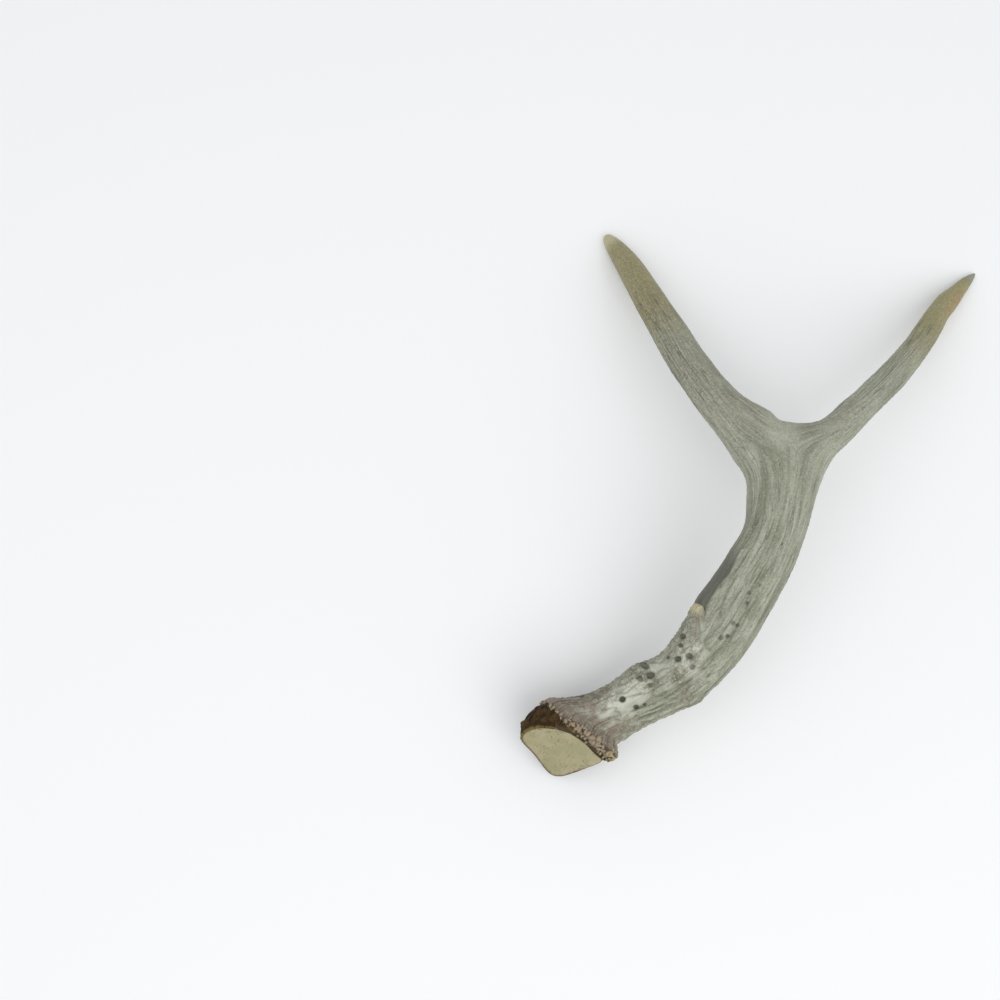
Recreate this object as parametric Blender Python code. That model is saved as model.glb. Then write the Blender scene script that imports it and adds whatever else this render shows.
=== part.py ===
"""A small deer antler with two points, sawn from the skull, lying on its burr and both tips.

Lengths are drawn 2 percent over size, in millimetres, and become true metres where a mesh is made. +Z is up and +Y runs from the burr
towards the two tips. The origin is the middle of the antler's box, on the surface it lies on.

The antler is one cage of rings: the beam rises from the burr in a bow and forks into the front point
and the rear tine. Every piece of bone is that cage, smoothed, with cutters that keep its own share.
"""

from math import cos, pi, radians, sin

import bmesh
import bpy
import numpy as np
from mathutils import Matrix, Vector

TRUE_SIZE = 0.98  # of the antler, against its drawn lengths
MM = 0.001 * TRUE_SIZE

SIDES = 12  # corners of one ring of the cage; a multiple of four, so that it can halve at the fork
RING_STEP = 8.0
SMOOTHING = 1  # rounds of subdivision on every piece of bone
SHRINKAGE = 0.955  # how far subdivision draws a ring of twelve corners in
JOIN_GAP = 0.3  # between a branch and the beam

# Middle of each section, then its half width across and its half thickness through.
BEAM = [
    (-67.9, -87.9, 17.4, 13.4, 13.8),
    (-53.7, -80.7, 19.2, 10.2, 10.2),
    (-35.3, -71.6, 26.0, 11.2, 10.6),
    (-21.7, -57.2, 34.0, 11.5, 10.8),
    (-11.2, -39.8, 40.5, 11.4, 11.0),
    (-1.5, -21.8, 44.5, 10.9, 10.6),
    (2.6, -2.4, 45.0, 12.5, 10.6),
]
FORK = (2.5, 7.6, 44.2, 18.2, 10.4)
CROTCH_REACH = 10.6  # from the middle of the fork forward to the web between the branches
CROTCH_ASIDE = 1.5  # and how far that web sags to the left
FRONT_POINT = [
    (-7.1, 15.0, 42.6, 10.5, 9.4),
    (-17.3, 26.6, 38.8, 7.6, 7.6),
    (-25.8, 40.7, 33.0, 7.1, 7.0),
    (-33.3, 57.1, 25.6, 6.6, 6.6),
    (-40.5, 74.3, 17.2, 5.85, 5.9),
    (-47.7, 91.9, 7.6, 4.85, 4.8),
    (-54.2, 103.8, 1.8, 2.7, 2.5),
]
FRONT_TIP = (-55.9, 106.0, 1.3)
REAR_TINE = [
    (20.1, 15.4, 41.2, 7.2, 7.4),
    (33.9, 27.2, 35.0, 5.65, 5.8),
    (48.0, 40.4, 27.0, 5.5, 5.5),
    (61.0, 55.2, 18.2, 5.0, 5.0),
    (73.4, 71.6, 8.5, 4.5, 4.4),
    (86.7, 86.2, 1.6, 2.2, 2.1),
]
REAR_TIP = (92.3, 91.2, 0.7)

# The pedicle, the stump of skull bone below the burr, and the slanting saw cut through it.
PEDICLE_AXIS = Vector((-0.57, -0.80, 0.12)).normalized()
PEDICLE_SECTION = [  # corners of the cage round it, to the left of the burr's middle and above it
    (17.0, 1.0),
    (14.5, 10.0),
    (7.5, 13.0),
    (3.0, 13.5),
    (-4.5, 10.0),
    (-9.5, 4.5),
    (-14.0, 3.5),
    (-10.0, -4.5),
    (-7.0, -10.5),
    (-3.0, -18.0),
    (3.5, -11.5),
    (9.5, -4.5),
]
PEDICLE_RINGS = [27.0, 18.0, 9.0, 5.0]  # distances from the burr; the saw cuts the first two off
SAW_POINT = Vector((-75.0, -96.4, 19.4))
SAW_NORMAL = Vector((-0.23, -0.83, 0.50)).normalized()
TURN_LENGTH = 24.0  # the beam turns from the pedicle's line to its own over this length
# The burr's lip, a little tilted over the pedicle: its middle section, then the distance of each
# ring of it towards the pedicle, and how far that ring stands out.
BURR_AXIS = Vector((-0.57, -0.80, 0.05)).normalized()
BURR_LIP_SECTION = (-67.9, -88.0, 16.2, 12.9, 12.6)
BURR_LIP = [(2.8, 0.4), (2.0, 3.7), (0.0, 3.9), (-2.6, 0.8)]

# The small brow tine: the face of the cage it grows from, and the rings up to its tip.
NUB_RING, NUB_SIDE = 6, 1
NUB_HEADING = Vector((0.05, 0.93, 0.30)).normalized()
NUB_STEPS = [(2.4, 1.05), (2.2, 0.72), (1.8, 0.55)]

# The collar of dried hide left round the pedicle. It stops short of the stretch where the saw cut
# comes so near the burr that there is no room for it.
HIDE_STATIONS = 24
HIDE_FROM, HIDE_TO = radians(-155), radians(72)
HIDE_START = 4.8  # from the burr
HIDE_TUCK = 0.6  # how much nearer the burr its outside reaches where it is thickest
HIDE_GAP = 0.6  # between it and the faceted bone inside it, so that they never touch
HIDE_THICKNESS = 0.6
HIDE_SWELLING = 1.9  # how much thicker it is on its thickest side, near the burr
HIDE_CUT_SWELLING = 0.3  # and at the saw cut, where it shrank back
HIDE_SWOLLEN_AT = radians(14)

BRANCH_PART = 16.0  # where each branch is parted from the beam, along it from its root
CUTTER_SIZE = 120.0


def clear_scene():
    for item in list(bpy.data.objects):
        bpy.data.objects.remove(item, do_unlink=True)


def bone_material(name, colour, roughness):
    material = bpy.data.materials.new(name)
    material.use_nodes = True
    shader = material.node_tree.nodes["Principled BSDF"]
    shader.inputs["Base Color"].default_value = (*colour, 1.0)
    shader.inputs["Roughness"].default_value = roughness
    shader.inputs["Metallic"].default_value = 0.0
    return material


def smooth_line(rows, step):
    """Evenly spaced sections on a smooth line through rows, which also blends the half widths."""
    rows = np.array(rows, float)
    ends = np.vstack([2 * rows[0] - rows[1], rows, 2 * rows[-1] - rows[-2]])
    fine = []
    for a, b, c, d in zip(ends, ends[1:], ends[2:], ends[3:]):
        for t in np.linspace(0.0, 1.0, 40, endpoint=False):
            fine.append(
                b
                + 0.5 * t * (c - a)
                + 0.5 * t**2 * (2 * a - 5 * b + 4 * c - d)
                + 0.5 * t**3 * (3 * b - a - 3 * c + d)
            )
    fine = np.array([*fine, rows[-1]])
    travelled = np.append(0.0, np.cumsum(np.linalg.norm(np.diff(fine[:, :3], axis=0), axis=1)))
    count = max(2, round(travelled[-1] / step) + 1)
    places = np.linspace(0.0, travelled[-1], count)
    sections = np.array([np.interp(places, travelled, column) for column in fine.T]).T
    headings = np.gradient(sections[:, :3], places, axis=0)
    return places, sections.tolist(), [Vector(heading).normalized() for heading in headings]


def side_and_up(heading):
    """Unit vectors to the left of a heading, level, and up from it."""
    left = Vector((0, 0, 1)).cross(heading).normalized()
    return left, heading.cross(left).normalized()


def ring(mesh, section, heading):
    """SIDES corners round a section: the first on its left, the next ones over the top."""
    middle = Vector(section[:3])
    left, up = side_and_up(heading)
    across, through = section[3] / SHRINKAGE, section[4] / SHRINKAGE
    corners = []
    for i in range(SIDES):
        turn = 2 * pi * i / SIDES
        place = middle + across * cos(turn) * left + through * sin(turn) * up
        corners.append(mesh.verts.new(place * MM))
    return corners


def skin(mesh, first, second):
    """Faces between two rings."""
    for i in range(SIDES):
        j = (i + 1) % SIDES
        mesh.faces.new((first[i], first[j], second[j], second[i]))


def pedicle_place(turn, along, proud):
    """A point of the pedicle's skin, or proud of it, at a turn round it and a distance from the burr.

    The skin is the cubic B-spline of the cage's corners, which subdivision also comes to.
    """
    corner, t = divmod(turn * SIDES / (2 * pi), 1.0)
    a, b, c, d = (Vector(PEDICLE_SECTION[(int(corner) + k) % SIDES]) for k in (-1, 0, 1, 2))
    spot = (1 - t) ** 3 * a + (4 - 6 * t**2 + 3 * t**3) * b
    spot += (1 + 3 * t + 3 * t**2 - 3 * t**3) * c + t**3 * d
    run = (1 + 2 * t - 3 * t**2) * c + t**2 * d - (4 * t - 3 * t**2) * b - (1 - t) ** 2 * a
    aside, rise = spot / 6 + proud * Vector((run.y, -run.x)).normalized()
    left, up = side_and_up(-PEDICLE_AXIS)
    return Vector(BEAM[0][:3]) + aside * left + rise * up + along * PEDICLE_AXIS


def pedicle_and_burr(mesh):
    """Rings from beyond the saw cut to the burr's lip."""
    burr = Vector(BEAM[0][:3])
    left, up = side_and_up(-PEDICLE_AXIS)
    rings = []
    for along in PEDICLE_RINGS:
        middle = burr + along * PEDICLE_AXIS
        corners = [middle + aside * left + rise * up for aside, rise in PEDICLE_SECTION]
        rings.append([mesh.verts.new(corner * MM) for corner in corners])
    for along, stands_out in BURR_LIP:
        middle = Vector(BURR_LIP_SECTION[:3]) + along * BURR_AXIS
        widths = (BURR_LIP_SECTION[3] + stands_out, BURR_LIP_SECTION[4] + stands_out)
        rings.append(ring(mesh, (*middle, *widths), -BURR_AXIS))
    return rings


def beam_rings(mesh):
    """Rings of the beam past the burr, turning from the pedicle's line to the beam's own."""
    places, sections, headings = smooth_line(BEAM, RING_STEP)
    rings = []
    for place, section, heading in list(zip(places, sections, headings))[1:]:
        turned = min(1.0, float(place) / TURN_LENGTH)
        rings.append(ring(mesh, section, (-PEDICLE_AXIS).lerp(heading, turned).normalized()))
    return rings


def fork(mesh):
    """The oval where the beam divides, and the chain of corners over the web between the branches."""
    heading = (Vector(FORK[:3]) - Vector(BEAM[-1][:3])).normalized()
    oval = ring(mesh, FORK, heading)
    left, up = side_and_up(heading)
    half = SIDES // 2
    web = []
    for i in range(1, half):
        turn = pi * i / half
        place = Vector(FORK[:3]) + sin(turn) * (CROTCH_REACH * heading + CROTCH_ASIDE * left)
        web.append(mesh.verts.new((place + FORK[4] * cos(turn) * up) * MM))
    top, bottom = SIDES // 4, 3 * SIDES // 4
    left_loop = oval[: top + 1] + web + oval[bottom:]
    right_loop = [None] * SIDES
    right_loop[top : bottom + 1] = oval[top : bottom + 1]
    for i, corner in enumerate(web):
        right_loop[(top - 1 - i) % SIDES] = corner
    return oval, left_loop, right_loop


def branch(mesh, loop, rows, tip):
    """Rings from a loop at the fork to a rounded tip."""
    _, sections, headings = smooth_line(rows, RING_STEP)
    last = loop
    for section, heading in zip(sections, headings):
        following = ring(mesh, section, heading)
        skin(mesh, last, following)
        last = following
    point = mesh.verts.new(Vector(tip) * MM)
    for i in range(SIDES):
        mesh.faces.new((last[i], last[(i + 1) % SIDES], point))


def brow_nub(mesh, rings):
    """The small brow tine, drawn out of one face of the beam."""
    low, high = rings[NUB_RING], rings[NUB_RING + 1]
    corners = [low[NUB_SIDE], low[NUB_SIDE + 1], high[NUB_SIDE + 1], high[NUB_SIDE]]
    face = next(f for f in mesh.faces if set(f.verts) == set(corners))
    for length, scale in NUB_STEPS:
        made = bmesh.ops.extrude_discrete_faces(mesh, faces=[face])
        face = made["faces"][0]
        bmesh.ops.translate(mesh, verts=face.verts, vec=NUB_HEADING * length * MM)
        middle = face.calc_center_median()
        bmesh.ops.scale(
            mesh, verts=face.verts, vec=(scale,) * 3, space=Matrix.Translation(-middle)
        )


def antler_cage():
    """The whole antler as one closed cage."""
    mesh = bmesh.new()
    rings = pedicle_and_burr(mesh) + beam_rings(mesh)
    mesh.faces.new(reversed(rings[0]))
    for first, second in zip(rings, rings[1:]):
        skin(mesh, first, second)
    oval, left_loop, right_loop = fork(mesh)
    skin(mesh, rings[-1], oval)
    branch(mesh, left_loop, FRONT_POINT, FRONT_TIP)
    branch(mesh, right_loop, REAR_TINE, REAR_TIP)
    brow_nub(mesh, rings[len(PEDICLE_RINGS) + len(BURR_LIP) :])
    bmesh.ops.recalc_face_normals(mesh, faces=mesh.faces)
    data = bpy.data.meshes.new("antler_cage")
    mesh.to_mesh(data)
    mesh.free()
    data.shade_smooth()
    return data


def parting(name, point, normal):
    """A cutter: a block that starts at point and reaches away from it along normal."""
    mesh = bmesh.new()
    bmesh.ops.create_cube(mesh, size=CUTTER_SIZE * MM)
    bmesh.ops.translate(mesh, verts=mesh.verts, vec=(0, 0, CUTTER_SIZE * MM / 2))
    data = bpy.data.meshes.new(name)
    mesh.to_mesh(data)
    mesh.free()
    cutter = bpy.data.objects.new(name, data)
    bpy.context.scene.collection.objects.link(cutter)
    turned = Vector((0, 0, 1)).rotation_difference(normal)
    cutter.matrix_world = Matrix.LocRotScale(Vector(point) * MM, turned, None)
    cutter.hide_render = True
    cutter.display_type = "WIRE"
    return cutter


def piece_of_bone(name, cage, material):
    piece = bpy.data.objects.new(name, cage.copy())
    bpy.context.scene.collection.objects.link(piece)
    piece.data.materials.append(material)
    rounding = piece.modifiers.new("rounding", "SUBSURF")
    rounding.levels = rounding.render_levels = SMOOTHING
    return piece


def trim(piece, cutter, operation):
    cut = piece.modifiers.new(cutter.name, "BOOLEAN")
    cut.operation = operation
    cut.object = cutter
    cut.solver = "EXACT"


def station(rows, distance):
    """The point and heading at a distance along a branch."""
    places, sections, headings = smooth_line(rows, 1.0)
    i = int(np.searchsorted(places, distance))
    return Vector(sections[i][:3]), headings[i]


def dried_hide():
    """A collar round most of the pedicle, from the burr to the saw cut, swollen on one side."""
    mesh = bmesh.new()
    loops = []
    for turn in np.linspace(HIDE_FROM, HIDE_TO, HIDE_STATIONS).tolist():
        swollen = max(0.0, cos(turn - HIDE_SWOLLEN_AT)) ** 2
        loop = []
        for proud, along in (
            (0.6 * HIDE_THICKNESS, HIDE_START),  # this edge clears the burr's root
            (HIDE_THICKNESS + HIDE_SWELLING * swollen, HIDE_START - HIDE_TUCK * swollen),
            (HIDE_THICKNESS + HIDE_CUT_SWELLING * swollen, None),
            (0.0, None),
        ):
            rim = pedicle_place(turn, 0.0, HIDE_GAP + proud)
            if along is None:
                saw_depth = (SAW_POINT - rim).dot(SAW_NORMAL) / PEDICLE_AXIS.dot(SAW_NORMAL)
                along = saw_depth - JOIN_GAP
            loop.append(mesh.verts.new((rim + along * PEDICLE_AXIS) * MM))
        loops.append(loop)
    for first, second in zip(loops, loops[1:]):
        for i in range(4):
            j = (i + 1) % 4
            mesh.faces.new((first[i], first[j], second[j], second[i]))
    mesh.faces.new(reversed(loops[0]))
    mesh.faces.new(loops[-1])
    bmesh.ops.triangulate(mesh, faces=mesh.faces)
    bmesh.ops.recalc_face_normals(mesh, faces=mesh.faces)
    data = bpy.data.meshes.new("dried_hide")
    mesh.to_mesh(data)
    mesh.free()
    hide = bpy.data.objects.new("dried_hide", data)
    bpy.context.scene.collection.objects.link(hide)
    hide.data.materials.append(bone_material("dried hide", (0.09, 0.05, 0.02), 0.55))
    return hide


def main():
    clear_scene()
    cage = antler_cage()
    weathered = bone_material("weathered bone", (0.42, 0.43, 0.36), 0.7)
    ivory = bone_material("polished tip", (0.47, 0.43, 0.31), 0.55)
    front_at, front_heading = station(FRONT_POINT, BRANCH_PART)
    rear_at, rear_heading = station(REAR_TINE, BRANCH_PART)

    beam = piece_of_bone("beam", cage, weathered)
    trim(beam, parting("saw_cut", SAW_POINT, SAW_NORMAL), "DIFFERENCE")
    trim(beam, parting("front_parting", front_at, front_heading), "DIFFERENCE")
    trim(beam, parting("rear_parting", rear_at, rear_heading), "DIFFERENCE")

    front = piece_of_bone("front_point", cage, ivory)
    front_end = front_at + JOIN_GAP * front_heading
    trim(front, parting("front_side", front_end, front_heading), "INTERSECT")

    rear = piece_of_bone("rear_tine", cage, ivory)
    rear_end = rear_at + JOIN_GAP * rear_heading
    trim(rear, parting("rear_side", rear_end, rear_heading), "INTERSECT")

    dried_hide()


main()
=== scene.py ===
from math import cos, pi, radians, sin

import bmesh
import bpy
import numpy as np
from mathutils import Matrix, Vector, noise


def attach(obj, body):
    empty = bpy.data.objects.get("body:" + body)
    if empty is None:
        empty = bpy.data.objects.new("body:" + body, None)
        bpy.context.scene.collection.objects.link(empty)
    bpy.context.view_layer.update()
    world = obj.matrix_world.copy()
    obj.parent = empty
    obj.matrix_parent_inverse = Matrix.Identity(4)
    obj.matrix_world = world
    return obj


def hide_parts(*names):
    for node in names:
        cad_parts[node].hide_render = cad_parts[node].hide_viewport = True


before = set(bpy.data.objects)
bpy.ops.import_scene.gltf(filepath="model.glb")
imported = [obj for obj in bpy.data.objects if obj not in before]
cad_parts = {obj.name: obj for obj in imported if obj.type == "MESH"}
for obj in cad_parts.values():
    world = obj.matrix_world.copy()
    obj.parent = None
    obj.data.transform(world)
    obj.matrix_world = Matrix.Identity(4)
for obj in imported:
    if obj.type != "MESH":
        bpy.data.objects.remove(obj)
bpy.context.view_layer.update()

# The antler's own lengths are drawn in millimetres, 2 percent over size. MM makes them true metres.
TRUE_SIZE = 0.98
MM = 0.001 * TRUE_SIZE

# The view. The antler was one of a pair laid out side by side, seen from almost straight above.
# Only the right-hand one is made, so the camera aims at the empty middle of the pair.
PAIR_MIDDLE = Vector((-97.3, -1.0, 0.0)) * MM
CAMERA_ELEVATION = radians(80)
CAMERA_DISTANCE = 0.5243

towards_camera = Vector((0.0, -cos(CAMERA_ELEVATION), sin(CAMERA_ELEVATION)))
lens = bpy.data.cameras.new("camera")
lens.lens = 50
lens.sensor_width = 36
lens.clip_start = 0.02
camera = bpy.data.objects.new("camera", lens)
camera.location = PAIR_MIDDLE + CAMERA_DISTANCE * towards_camera
camera.rotation_euler = (-towards_camera).to_track_quat("-Z", "Y").to_euler()
bpy.context.scene.collection.objects.link(camera)
bpy.context.scene.camera = camera
bpy.context.scene.view_settings.view_transform = "Standard"

# The table top: a plain pale board with a matt finish, on which the antler lies loose on its burr
# and both tips. It is far wider than the antler, so that no edge of it shows.
TABLE_SIZE = 8.0
TABLE_COLOUR = (0.93, 0.93, 0.92, 1.0)

table_mesh = bpy.data.meshes.new("table")
half = TABLE_SIZE / 2
table_corners = [(-half, -half, 0), (half, -half, 0), (half, half, 0), (-half, half, 0)]
table_mesh.from_pydata(table_corners, [], [(0, 1, 2, 3)])
table = bpy.data.objects.new("table", table_mesh)
table.location = (0, 0, -0.1 * MM)
bpy.context.scene.collection.objects.link(table)
matt_board = bpy.data.materials.new("matt_board")
matt_board.use_nodes = True
matt_board.node_tree.nodes["Principled BSDF"].inputs["Base Color"].default_value = TABLE_COLOUR
matt_board.node_tree.nodes["Principled BSDF"].inputs["Roughness"].default_value = 0.8
table_mesh.materials.append(matt_board)

# The light: a pale sky all round and two soft boxes. The larger one stands at the foot of the
# antler, so that the sides turned towards the tips, such as the inside of the fork, are in shade.
SKY = (0.93, 0.96, 1.0, 1.0)
SKY_STRENGTH = 0.66

world = bpy.data.worlds.new("sky")
world.use_nodes = True
world.node_tree.nodes["Background"].inputs["Color"].default_value = SKY
world.node_tree.nodes["Background"].inputs["Strength"].default_value = SKY_STRENGTH
bpy.context.scene.world = world


def soft_box(name, place, size, power):
    """A square lamp at place that faces the antler."""
    lamp = bpy.data.lights.new(name, "AREA")
    lamp.size = size
    lamp.energy = power
    box = bpy.data.objects.new(name, lamp)
    box.location = place
    box.rotation_euler = (-Vector(place)).to_track_quat("-Z", "Y").to_euler()
    bpy.context.scene.collection.objects.link(box)


soft_box("key", (0.40, -0.75, 1.15), 1.3, 8.0)
soft_box("fill", (-0.50, -0.10, 1.20), 1.2, 3.0)

# The bone. An antler is one living growth of bone, hardened and then bleached by the weather: the
# beam rises from the burr in a bow and forks into a front point and a rear tine. It is grown here as
# one cage of rings, which knows how far along the antler and how far round it each of its parts is.
SIDES = 12
RING_STEP = 8.0
SHRINKAGE = 0.955  # how far subdivision draws a ring of twelve corners in
SMOOTHING = 4
# Middle of each section in drawn millimetres, then its half width across and its half thickness through.
BEAM = [
    (-67.9, -87.9, 17.4, 13.4, 13.8),
    (-53.7, -80.7, 19.2, 10.2, 10.2),
    (-35.3, -71.6, 26.0, 11.2, 10.6),
    (-21.7, -57.2, 34.0, 11.5, 10.8),
    (-11.2, -39.8, 40.5, 11.4, 11.0),
    (-1.5, -21.8, 44.5, 10.9, 10.6),
    (2.6, -2.4, 45.0, 12.5, 10.6),
]
FORK = (2.5, 7.6, 44.2, 18.2, 10.4)
CROTCH_REACH = 10.6
CROTCH_ASIDE = 1.5
FRONT_POINT = [
    (-7.1, 15.0, 42.6, 10.5, 9.4),
    (-17.3, 26.6, 38.8, 7.6, 7.6),
    (-25.8, 40.7, 33.0, 7.1, 7.0),
    (-33.3, 57.1, 25.6, 6.6, 6.6),
    (-40.5, 74.3, 17.2, 5.85, 5.9),
    (-47.7, 91.9, 7.6, 4.85, 4.8),
    (-54.2, 103.8, 1.8, 2.7, 2.5),
]
FRONT_TIP = (-55.9, 106.0, 1.3)
REAR_TINE = [
    (20.1, 15.4, 41.2, 7.2, 7.4),
    (33.9, 27.2, 35.0, 5.65, 5.8),
    (48.0, 40.4, 27.0, 5.5, 5.5),
    (61.0, 55.2, 18.2, 5.0, 5.0),
    (73.4, 71.6, 8.5, 4.5, 4.4),
    (86.7, 86.2, 1.6, 2.2, 2.1),
]
REAR_TIP = (92.3, 91.2, 0.7)
PEDICLE_AXIS = Vector((-0.57, -0.80, 0.12)).normalized()
PEDICLE_SECTION = [  # corners of the cage round it, to the left of the burr's middle and above it
    (17.0, 1.0),
    (14.5, 10.0),
    (7.5, 13.0),
    (3.0, 13.5),
    (-4.5, 10.0),
    (-9.5, 4.5),
    (-14.0, 3.5),
    (-10.0, -4.5),
    (-7.0, -10.5),
    (-3.0, -18.0),
    (3.5, -11.5),
    (9.5, -4.5),
]
PEDICLE_RINGS = [27.0, 18.0, 9.0, 5.0]
PEDICLE_WAIST = 0.07  # how much slimmer it is beside the burr
SAW_POINT = Vector((-75.0, -96.4, 19.4))
SAW_NORMAL = Vector((-0.23, -0.83, 0.50)).normalized()
TURN_LENGTH = 24.0
BURR_AXIS = Vector((-0.57, -0.80, 0.05)).normalized()
BURR_LIP_SECTION = (-67.9, -88.0, 16.2, 12.9, 12.6)
BURR_LIP = [(2.8, 0.4), (2.0, 3.7), (0.0, 3.9), (-2.6, 0.8)]
LIP_MIDDLE = 1.2
NUB_RING, NUB_SIDE = 6, 1
NUB_HEADING = Vector((0.05, 0.93, 0.30)).normalized()
NUB_STEPS = [(2.4, 1.05), (2.2, 0.72), (1.8, 0.55)]
BRANCH_ROOT_RINGS = 2  # rings of each branch that belong to the beam
BEAM_SHARE, FRONT_SHARE, REAR_SHARE = 0, 1, 2
BURR = Vector(BEAM[0][:3])


def smooth_line(rows, step):
    """Evenly spaced sections on a smooth line through rows, which also blends the half widths."""
    rows = np.array(rows, float)
    ends = np.vstack([2 * rows[0] - rows[1], rows, 2 * rows[-1] - rows[-2]])
    fine = []
    for a, b, c, d in zip(ends, ends[1:], ends[2:], ends[3:]):
        for t in np.linspace(0.0, 1.0, 40, endpoint=False):
            fine.append(
                b
                + 0.5 * t * (c - a)
                + 0.5 * t**2 * (2 * a - 5 * b + 4 * c - d)
                + 0.5 * t**3 * (3 * b - a - 3 * c + d)
            )
    fine = np.array([*fine, rows[-1]])
    travelled = np.append(0.0, np.cumsum(np.linalg.norm(np.diff(fine[:, :3], axis=0), axis=1)))
    count = max(2, round(travelled[-1] / step) + 1)
    places = np.linspace(0.0, travelled[-1], count)
    sections = np.array([np.interp(places, travelled, column) for column in fine.T]).T
    headings = np.gradient(sections[:, :3], places, axis=0)
    return places, sections.tolist(), [Vector(heading).normalized() for heading in headings]


def side_and_up(heading):
    """Unit vectors to the left of a heading, level, and up from it."""
    left = Vector((0, 0, 1)).cross(heading).normalized()
    return left, heading.cross(left).normalized()


def ring(mesh, section, heading, along):
    """Corners round a section, the first on its left, the next over the top, and how far along."""
    left, up = side_and_up(heading)
    across, through = section[3] / SHRINKAGE, section[4] / SHRINKAGE
    corners = []
    for i in range(SIDES):
        turn = 2 * pi * i / SIDES
        place = Vector(section[:3]) + across * cos(turn) * left + through * sin(turn) * up
        corners.append((mesh.verts.new(place * MM), along))
    return corners


def skin(mesh, growth, first, second, share):
    """Faces between two rings, with how far round and along the antler each corner is."""
    for i in range(SIDES):
        j = (i + 1) % SIDES
        corners = (first[i], first[j], second[j], second[i])
        face = mesh.faces.new([corner for corner, _ in corners])
        face.material_index = share
        for loop, turns, (_, along) in zip(face.loops, (i, i + 1, i + 1, i), corners):
            loop[growth].uv = (turns / SIDES, along)


def waist(along):
    """How slim the pedicle is at a distance from the burr."""
    return 1 - PEDICLE_WAIST * max(0.0, 1 - max(0.0, along - 5.0) / 7.0)


def pedicle_place(turn, along, proud):
    """A point of the pedicle's skin, or proud of it, at a turn round it and a distance from the burr."""
    corner, t = divmod(turn * SIDES / (2 * pi), 1.0)
    a, b, c, d = (Vector(PEDICLE_SECTION[(int(corner) + k) % SIDES]) for k in (-1, 0, 1, 2))
    spot = (1 - t) ** 3 * a + (4 - 6 * t**2 + 3 * t**3) * b
    spot += (1 + 3 * t + 3 * t**2 - 3 * t**3) * c + t**3 * d
    run = (1 + 2 * t - 3 * t**2) * c + t**2 * d - (4 * t - 3 * t**2) * b - (1 - t) ** 2 * a
    aside, rise = spot / 6 + proud * Vector((run.y, -run.x)).normalized()
    left, up = side_and_up(-PEDICLE_AXIS)
    return BURR + waist(along) * (aside * left + rise * up) + along * PEDICLE_AXIS


def pedicle_and_burr(mesh):
    """Rings from beyond the saw cut to the burr's lip."""
    left, up = side_and_up(-PEDICLE_AXIS)
    rings = []
    for away in PEDICLE_RINGS:
        corners = [waist(away) * (aside * left + rise * up) for aside, rise in PEDICLE_SECTION]
        middle = BURR + away * PEDICLE_AXIS
        rings.append([(mesh.verts.new((middle + corner) * MM), -away) for corner in corners])
    for away, stands_out in BURR_LIP:
        middle = Vector(BURR_LIP_SECTION[:3]) + away * BURR_AXIS
        section = (*middle, BURR_LIP_SECTION[3] + stands_out, BURR_LIP_SECTION[4] + stands_out)
        rings.append(ring(mesh, section, -BURR_AXIS, LIP_MIDDLE - away))
    return rings


def beam_rings(mesh):
    """Rings of the beam past the burr, turning from the pedicle's line to the beam's own."""
    places, sections, headings = smooth_line(BEAM, RING_STEP)
    rings = []
    for place, section, heading in list(zip(places, sections, headings))[1:]:
        turned = (-PEDICLE_AXIS).lerp(heading, min(1.0, float(place) / TURN_LENGTH))
        rings.append(ring(mesh, section, turned.normalized(), float(place)))
    return rings


def fork(mesh, along):
    """The oval where the beam divides, and the chain of corners over the web between the branches."""
    middle = Vector(FORK[:3])
    run = middle - Vector(BEAM[-1][:3])
    along += run.length
    heading = run.normalized()
    oval = ring(mesh, FORK, heading, along)
    left, up = side_and_up(heading)
    web = []
    for i in range(1, SIDES // 2):
        turn = pi * i / (SIDES // 2)
        place = middle + sin(turn) * (CROTCH_REACH * heading + CROTCH_ASIDE * left)
        corner = mesh.verts.new((place + FORK[4] * cos(turn) * up) * MM)
        web.append((corner, along + sin(turn) * CROTCH_REACH))
    top, bottom = SIDES // 4, 3 * SIDES // 4
    left_loop = oval[: top + 1] + web + oval[bottom:]
    right_loop = [None] * SIDES
    right_loop[top : bottom + 1] = oval[top : bottom + 1]
    for i, corner in enumerate(web):
        right_loop[(top - 1 - i) % SIDES] = corner
    return oval, left_loop, right_loop, [corner.co.copy() / MM for corner, _ in web]


def branch(mesh, growth, loop, rows, tip, share):
    """Rings from a loop at the fork to a rounded tip. The first few belong to the beam."""
    places, sections, headings = smooth_line(rows, RING_STEP)
    start = max(along for _, along in loop)
    last = loop
    for i, (place, section, heading) in enumerate(zip(places, sections, headings)):
        following = ring(mesh, section, heading, start + float(place))
        skin(mesh, growth, last, following, share if i > BRANCH_ROOT_RINGS else BEAM_SHARE)
        last = following
    point = mesh.verts.new(Vector(tip) * MM)
    end = start + float(places[-1]) + (Vector(tip) - Vector(sections[-1][:3])).length
    for i in range(SIDES):
        face = mesh.faces.new((last[i][0], last[(i + 1) % SIDES][0], point))
        face.material_index = share
        face.loops[0][growth].uv = (i / SIDES, last[i][1])
        face.loops[1][growth].uv = ((i + 1) / SIDES, last[i][1])
        face.loops[2][growth].uv = ((i + 0.5) / SIDES, end)
    return end


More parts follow.
